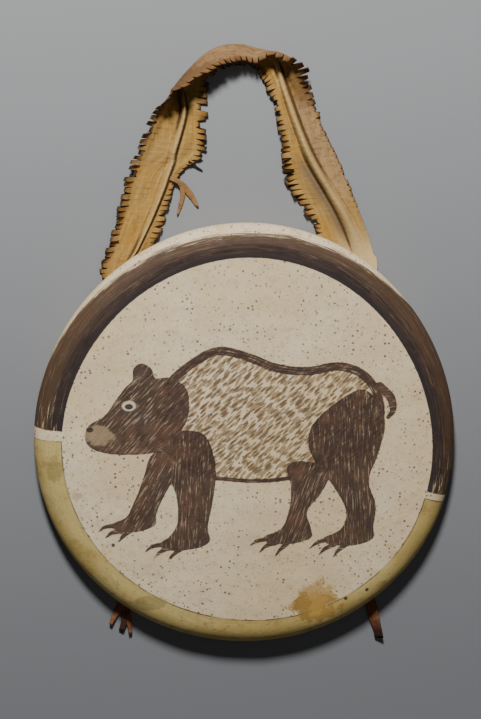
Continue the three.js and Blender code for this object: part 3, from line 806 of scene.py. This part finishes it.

# What the leather's colours depend on: how near a tab's tip or cut side, with painted shade in the gaps
# between tabs; painted shade and grime in the creases beside the pleat, and a painted highlight on its crest;
# which face of the skin shows; and painted shade at the loop's two corners, with grime along the left leg's
# outer edge.
tab_reach = np.linspace(0, 1, TAB_COLUMNS + 1)[1:]
ones = np.ones((len(row), 1))
flat_zero = np.zeros_like(band_out)
tip = np.concatenate([ones * tab_reach[::-1], flat_zero, ones * tab_reach], axis=1)
cut_side = np.clip(in_slit + (np.abs(tab_middle) > 0.42), 0, 1)
beside_slit = np.concatenate(
    [cut_side * (ones * tab_reach[::-1] > 0), flat_zero, cut_side * (ones * tab_reach > 0)], axis=1,
)
shares_across = np.concatenate([0 * in_out, band_across, 0 * far_out + 1], axis=1)
off_pleat = (shares_across - pleat_place) * width
inner_crease = np.exp(-((off_pleat + crease_half) / 2.0)**2) * (1 - 0.7 * np.clip(darker, 0, 1))
outer_crease = np.exp(-((off_pleat - crease_half) / 2.0)**2) * (1 - 0.7 * np.clip(-darker, 0, 1))
# Painted shade and grime in the two creases beside the pleat, one side darker.
creased = (inner_crease + outer_crease) * smooth(pleat_height, 0.5, 4.0)
# A painted highlight along the pleat's crest.
crest = np.exp(-(off_pleat / (0.8 * crease_half))**2) * smooth(pleat_height, 0.5, 4.0)
middle_y = (start[:, 1] + row[:, 3]) [:, None] / 2
right_leg = (lengthwise > 0.55 * strap_length) * 1.0
rough = right_leg * smooth(off_pleat, 3, 9) * smooth(middle_y, 262, 300) * (1 - smooth(middle_y, 392, 410))
shade = right_leg * np.exp(-((off_pleat + 11) / 8)**2) * smooth(middle_y, 215, 250) * (
    1 - smooth(middle_y, 315, 345)
)
# Painted shade at the loop's two corners, where the band folds over, and grime along the left leg's outer
# edge.
handled = np.exp(-((lengthwise - 0.415 * strap_length) / 34)**2) * smooth(shares_across, 0.1, 0.55)
handled = handled + 0.55 * smooth(shares_across, 0.72, 1.0) * (1 - right_leg)
handled = handled + np.exp(-((lengthwise - 0.6 * strap_length) / 30)**2) * smooth(shares_across, 0.2, 0.8)
pale_end = right_leg * (1 - smooth(middle_y, 205, 262)) * smooth(shares_across, 0.2, 0.5)
store(strap, "tip", round_section(tip))
store(strap, "beside_slit", round_section(beside_slit))
store(strap, "creased", round_section(creased, 0.4 * creased))
store(strap, "crest", round_section(crest, 0 * crest))
store(strap, "flesh_side", round_section(0 * tip, 0 * tip + 1))
store(strap, "rough", round_section(rough))
store(strap, "handled", round_section(handled + 0 * tip))
store(strap, "shade", round_section(shade))
store(strap, "pale_end", round_section(pale_end + 0 * tip))
store(strap, "lengthwise", round_section(lengthwise + 0 * tip))
store(strap, "across", round_section(shares_across * width))

# Brain-tanned leather: soft, matt and napped, golden on its worn face and a duller pinkish tan on its flesh
# side, with painted shade and grime in its creases, painted shade at the loop's corners and between the
# tabs, a painted highlight along the pleat's crest, and nearly black where the snipped tabs have dried and
# caught dirt.
tree, shader = new_material(strap, "tanned leather")
on_mesh = {
    name: add(tree, "Attribute", out=2, attribute_name=name)
    for name in (
        "lengthwise", "across", "tip", "creased", "beside_slit", "pale_end", "crest", "handled",
        "flesh_side", "rough", "shade",
    )
}
place = in_mm(tree)
down_band = add(tree, "CombineXYZ", [
    add(tree, "Math", [on_mesh["lengthwise"], 1 / 30], **TIMES),
    add(tree, "Math", [on_mesh["across"], 1 / 3], **TIMES),
])
clouds = add(tree, "TexNoise", {"Vector": place, "Scale": 1 / 38, "Detail": 3.0})
mottle = add(tree, "TexNoise", {"Vector": place, "Scale": 1 / 6, "Detail": 5.0, "Roughness": 0.65})
nap = add(tree, "TexNoise", {"Vector": place, "Scale": 1 / 1.2, "Detail": 3.0, "Roughness": 0.7})
strain = add(
    tree, "TexNoise",
    {"Vector": down_band, "Scale": 1.0, "Detail": 4.0, "Roughness": 0.6, "Distortion": 0.4},
)
tip = on_mesh["tip"]
creased = on_mesh["creased"]
beside_slit = on_mesh["beside_slit"]
face = coats(
    tree, colour("#A67E3C"),
    (add(tree, "MapRange", [clouds, 0.4, 0.64], **EASE), "#A27F46"),
    (add(tree, "MapRange", [strain, 0.46, 0.68, 0, 0.6], **EASE), "#BD9A5C"),
    (add(tree, "MapRange", [mottle, 0.5, 0.72, 0, 0.55], **EASE), "#86642F"),
    (on_mesh["pale_end"], "#D6B986"),
    # A painted highlight along the pleat's crest.
    (add(tree, "Math", [on_mesh["crest"], 0.6], **TIMES), "#CDB07A"),
)
flesh = coats(
    tree, colour("#8C6D48"),
    (add(tree, "MapRange", [strain, 0.42, 0.66], **EASE), "#77593A"),
    (add(tree, "MapRange", [mottle, 0.48, 0.68, 0, 0.8], **EASE), "#684D35"),
)
worn_flesh = coats(
    tree, colour("#A78760"),
    (add(tree, "MapRange", [strain, 0.42, 0.66], **EASE), "#92744F"),
    (add(tree, "MapRange", [mottle, 0.48, 0.68, 0, 0.8], **EASE), "#7E6044"),
)
crease_shade_and_grime_share = add(
    tree, "Math", [add(tree, "Math", [mottle, 0.5, creased], **TIMES_PLUS)], operation="ABSOLUTE",
)
handled = add(tree, "Math", [mottle, 0.6, on_mesh["handled"]], **TIMES_PLUS)
tip_edge = add(tree, "Math", [mottle, 0.7, tip], **TIMES_PLUS)
# The tabs' cut sides darken: partly their own dark cut edges, partly painted shade in the gaps between tabs.
cut_edge_and_gap_shade = add(tree, "Math", [beside_slit, add(tree, "MapRange", [tip, 0.0, 0.4, 0.5, 1.0])], **TIMES)
leather = coats(
    tree, face,
    (on_mesh["flesh_side"], flesh),
    (add(tree, "Math", [on_mesh["rough"], 0.85], **TIMES), worn_flesh),
    (on_mesh["shade"], "#7E684A"),
    # Painted shade and grime in the creases.
    (add(tree, "MapRange", [crease_shade_and_grime_share, 0.5, 1.1, 0, 0.85], **EASE), "#3F2D1B"),
    # Painted shade at the loop's corners, and grime along the left leg's outer edge.
    (add(tree, "MapRange", [handled, 0.5, 1.2, 0, 0.75], **EASE), "#5F4226"),
    (add(tree, "MapRange", [tip_edge, 0.35, 1.0, 0, 0.6], **EASE), "#7A5228"),
    (add(tree, "MapRange", [tip_edge, 0.95, 1.4, 0, 0.85], **EASE), "#33241A"),
    (add(tree, "MapRange", [cut_edge_and_gap_shade, 0.35, 1.0, 0, 0.9], **EASE), "#2B1F17"),
)
tree.links.new(leather, shader.inputs["Base Color"])
shader.inputs["Specular IOR Level"].default_value = 0.2
tree.links.new(add(tree, "MapRange", [mottle, 0.3, 0.7, 0.7, 0.92]), shader.inputs["Roughness"])
relief = add(tree, "Math", [nap, 0.1, add(tree, "Math", [mottle, 0.35], **TIMES)], **TIMES_PLUS)
relief = add(tree, "Math", [strain, 0.5, relief], **TIMES_PLUS)
bumps = add(tree, "Bump", {"Strength": 0.9, "Distance": MM, "Height": relief})
tree.links.new(bumps, shader.inputs["Normal"])

# ---- The laces ----
# Flat laces cut from reddish brown leather, thicker in the middle than at their edges. Two tie thongs hold
# the strap's ends: each lies over one, crosses the hollow and comes out under the rim. One short lace is
# knotted through the strap's left leg, where a bit of twisted hide string also hangs.

LACE_STATIONS = 90
LACE_AROUND = 20


def lace_rings(course, thickness, cupped=0.12):
    """A flat lace along a course of (x, y, height of its middle, width, twist in degrees): a flattened round
    whose edges are drawn up a little, carried along a smooth line."""
    course = np.array(course, float)
    places, _ = by_length(course, [0, 1, 2], 10.0)
    stations = along_rows(
        course, np.interp(np.linspace(0, 1, LACE_STATIONS), np.linspace(0, 1, len(places)), places),
    )
    middle = stations[:, :3]
    ahead = np.gradient(middle, axis=0)
    ahead /= np.linalg.norm(ahead, axis=1, keepdims=True)
    level = np.stack([-ahead[:, 1], ahead[:, 0], 0 * ahead[:, 0]], axis=1)
    level /= np.linalg.norm(level, axis=1, keepdims=True)
    up = np.cross(ahead, level)
    twist = np.radians(stations[:, 4])[:, None]
    across = level * np.cos(twist) + up * np.sin(twist)
    above = up * np.cos(twist) - level * np.sin(twist)
    along = np.linspace(0, 1, LACE_STATIONS)[:, None]
    wander = 1 + 0.05 * np.sin(along * 23 + course[0, 0]) + 0.03 * np.sin(along * 61 + course[0, 1])
    turn = np.arange(LACE_AROUND)[None, :] * 2 * np.pi / LACE_AROUND
    side = np.sign(np.cos(turn)) * np.abs(np.cos(turn))**0.6 * stations[:, 3:4] / 2 * wander
    rise = np.sign(np.sin(turn)) * np.abs(np.sin(turn))**0.8 * thickness / 2
    rise = rise + cupped * side**2 / np.maximum(stations[:, 3:4], 1)
    return middle[:, None, :] + across[:, None, :] * side[..., None] + above[:, None, :] * rise[..., None]


def lace_piece(name, node, rings, material_name, tints):
    """One piece of lace that stands for a node: its closed skins, and leather darker towards its cut
    ends."""
    piece = skins_from_rings(name, [ring + CENTRE for ring in rings])
    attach(piece, "root")
    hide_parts(node)
    along = np.tile(
        np.repeat(np.linspace(0, 1, LACE_STATIONS), LACE_AROUND), len(rings),
    ).reshape(len(rings), -1)
    store(piece, "along", np.concatenate([np.concatenate([run, [0, 1]]) for run in along]))
    around = np.tile(np.arange(LACE_AROUND) / LACE_AROUND, (len(rings), LACE_STATIONS))
    beside = np.abs(np.cos(around * 2 * np.pi))
    store(piece, "edge", np.concatenate([np.concatenate([run, [1, 1]]) for run in beside]))
    tree, shader = new_material(piece, material_name)
    place = in_mm(tree)
    mottle = add(tree, "TexNoise", {"Vector": place, "Scale": 1 / 7, "Detail": 5.0, "Roughness": 0.62})
    fibre = add(tree, "TexNoise", {"Vector": place, "Scale": 1 / 1.3, "Detail": 3.0, "Roughness": 0.7})
    along = add(tree, "Attribute", out=2, attribute_name="along")
    to_end = add(tree, "Math", [mottle, 0.1, along], **TIMES_PLUS)
    edge = add(tree, "Attribute", out=2, attribute_name="edge")
    leather = coats(
        tree, colour(tints[0]),
        (add(tree, "MapRange", [mottle, 0.42, 0.62, 0, 0.8], **EASE), tints[1]),
        (add(tree, "MapRange", [fibre, 0.45, 0.7, 0, 0.6], **EASE), tints[2]),
        (add(tree, "MapRange", [edge, 0.75, 1.0, 0, 0.6], **EASE), tints[3]),
        (add(tree, "MapRange", [to_end, 0.96, 1.03, 0, 0.9], **EASE), tints[3]),
    )
    tree.links.new(leather, shader.inputs["Base Color"])
    shader.inputs["Roughness"].default_value = 0.78
    shader.inputs["Specular IOR Level"].default_value = 0.25
    relief = add(tree, "Math", [fibre, 0.2, add(tree, "Math", [mottle, 0.5], **TIMES)], **TIMES_PLUS)
    tree.links.new(
        add(tree, "Bump", {"Strength": 0.9, "Distance": MM, "Height": relief}), shader.inputs["Normal"],
    )
    return piece


THONG_THICKNESS = 3.0
ON_GROUND = 1.5
ON_STRAP = 4.3
REDDISH = ("#7C4D2F", "#603A24", "#8C5E3C", "#24160F")
GOLDEN = ("#9A7244", "#7E5832", "#A98555", "#33221A")
STRING = ("#3B2C22", "#2A1F19", "#54402F", "#1E1612")

lace_piece("tie_thong_left_lace", "tie_thong_left", [
    lace_rings([
        (-147, 134, ON_STRAP, 9, 0), (-147, 116, ON_STRAP, 9, 0), (-148, 100, ON_STRAP + 0.2, 9, 0),
        (-150, 84, ON_GROUND + 1, 9, 0), (-154, 68, ON_GROUND, 9, 0), (-182, -10, ON_GROUND, 9, 0),
        (-180, -95, ON_GROUND, 9, 0), (-158, -170, ON_GROUND, 10, 0), (-147, -206, ON_GROUND, 12, 0),
        (-146, -226, ON_GROUND, 9, 0), (-151, -243, ON_GROUND + 1, 6, 10)], THONG_THICKNESS),
    lace_rings([
        (-149, -196, ON_GROUND, 6, 0), (-153, -214, ON_GROUND, 7, 0), (-160, -225, ON_GROUND + 1.5, 6, 20),
        (-164, -234, ON_GROUND + 3, 4, 30)], 2.4),
    lace_rings([
        (-146, -204, ON_GROUND, 6, 0), (-143, -220, ON_GROUND, 7, 0), (-141, -236, ON_GROUND + 1.5, 6, -20),
        (-140, -247, ON_GROUND + 2.5, 4, -25)], 2.4),
], "lace leather left", REDDISH)
lace_piece("tie_thong_right_lace", "tie_thong_right", [
    lace_rings([
        (130, 134, ON_STRAP, 9, 0), (130, 116, ON_STRAP, 9, 0), (131, 100, ON_STRAP + 0.2, 9, 0),
        (134, 84, ON_GROUND + 1, 9, 0), (140, 68, ON_GROUND, 9, 0), (182, -10, ON_GROUND, 9, 0),
        (186, -95, ON_GROUND, 9, 0), (168, -165, ON_GROUND, 10, 0), (152, -206, ON_GROUND, 12, 0),
        (156, -222, ON_GROUND + 0.5, 13, 0), (160, -240, ON_GROUND + 3, 13, 25),
        (164, -254, ON_GROUND + 4, 12, 40),
        (166, -264, ON_GROUND + 3.5, 11, 30)], THONG_THICKNESS)],
    "lace leather right", REDDISH)
lace_piece("strap_lace_leather", "strap_lace", [
    lace_rings([(-88, 311, 7.6, 5, 0), (-79, 307, 6.6, 6, 0), (
        -68, 296, 2.8, 7.5, 10,
    ), (-60, 284, 1.5, 6, 15),
                (-55, 275, 1.3, 2, 0)], 2.0),
    lace_rings([(-84, 311, 7.0, 5, 0), (-76, 303, 5.0, 5, 0), (
        -73, 291, 2.8, 5.5, -10,
    ), (-76, 277, 1.5, 4.5, -10),
                (-79, 266, 1.2, 1.6, 0)], 2.0),
], "lace leather pale", GOLDEN)
lace_piece("strap_string_hide", "strap_string", [
    lace_rings([(-66, 330, 6, 2.4, 0), (-58, 324, 3, 2.4, 60), (-50, 318, 1.2, 1.4, 120)], 1.8)],
    "twisted hide string", STRING)


# ---- The floor, the lights and the camera ----
# A pale sheet whose grey is painted lighter towards the head of the shield and darker towards its foot, as
# painted light falloff; one large soft light above the head of the shield and a weak fill.

CAMERA_DISTANCE = 2600.0
CAMERA_TILT = 15.0
CAMERA_HEADING = 115.0
FRAME_HEIGHT = 719 * 1.1772
AIM = np.array([-7.42, 96.12, 20.0]) + CENTRE

floor_mesh = bpy.data.meshes.new("floor")
floor_mesh.from_pydata(
    [(-9, -9, -0.0002), (9, -9, -0.0002), (9, 9, -0.0002), (-9, 9, -0.0002)], [], [(0, 1, 2, 3)],
)
floor = bpy.data.objects.new("floor", floor_mesh)
bpy.context.scene.collection.objects.link(floor)
tree, shader = new_material(floor, "matt paper")
up_the_sheet = add(tree, "SeparateXYZ", [add(tree, "TexCoord", out=3)], out=1)
# Painted light falloff: the sheet's grey darkens away from the light.
painted_falloff = add(tree, "MapRange", [up_the_sheet, -0.45, 0.5], **EASE)
tree.links.new(coats(tree, colour("#76777A"), (painted_falloff, "#919293")), shader.inputs["Base Color"])
shader.inputs["Roughness"].default_value = 0.9

tilt, turned = np.radians([CAMERA_TILT, CAMERA_HEADING])
back = np.array([np.sin(tilt) * np.cos(turned), np.sin(tilt) * np.sin(turned), np.cos(tilt)])
right = np.cross([0.0, 1.0, 0.0], back)
right /= np.linalg.norm(right)
camera_data = bpy.data.cameras.new("camera")
camera_data.sensor_width = 36.0
camera_data.lens = 36.0 * CAMERA_DISTANCE / FRAME_HEIGHT
camera = bpy.data.objects.new("camera", camera_data)
bpy.context.scene.collection.objects.link(camera)
pose = np.eye(4)
pose[:3, 0] = right
pose[:3, 1] = np.cross(back, right)
pose[:3, 2] = back
pose[:3, 3] = (AIM + CAMERA_DISTANCE * back) * MM
camera.matrix_world = Matrix(pose.tolist())
bpy.context.scene.camera = camera


def soft_light(name, place, target, size, watts):
    """A round area light at a place, turned to face its target."""
    data = bpy.data.lights.new(name, "AREA")
    data.shape = "DISK"
    data.size = size
    data.energy = watts
    lamp = bpy.data.objects.new(name, data)
    bpy.context.scene.collection.objects.link(lamp)
    lamp.location = place
    lamp.rotation_euler = Vector(np.subtract(target, place).tolist()).to_track_quat("-Z", "Y").to_euler()
    return lamp


soft_light("key", (-0.4, 2.35, 2.1), (0, -0.05, 0), 0.55, 158)
soft_light("fill", (0.9, -1.4, 2.6), (0, 0, 0), 2.5, 3)
world = bpy.data.worlds.new("room")
world.use_nodes = True
world.node_tree.nodes["Background"].inputs["Color"].default_value = (1, 1, 1, 1)
world.node_tree.nodes["Background"].inputs["Strength"].default_value = 0.05
bpy.context.scene.world = world
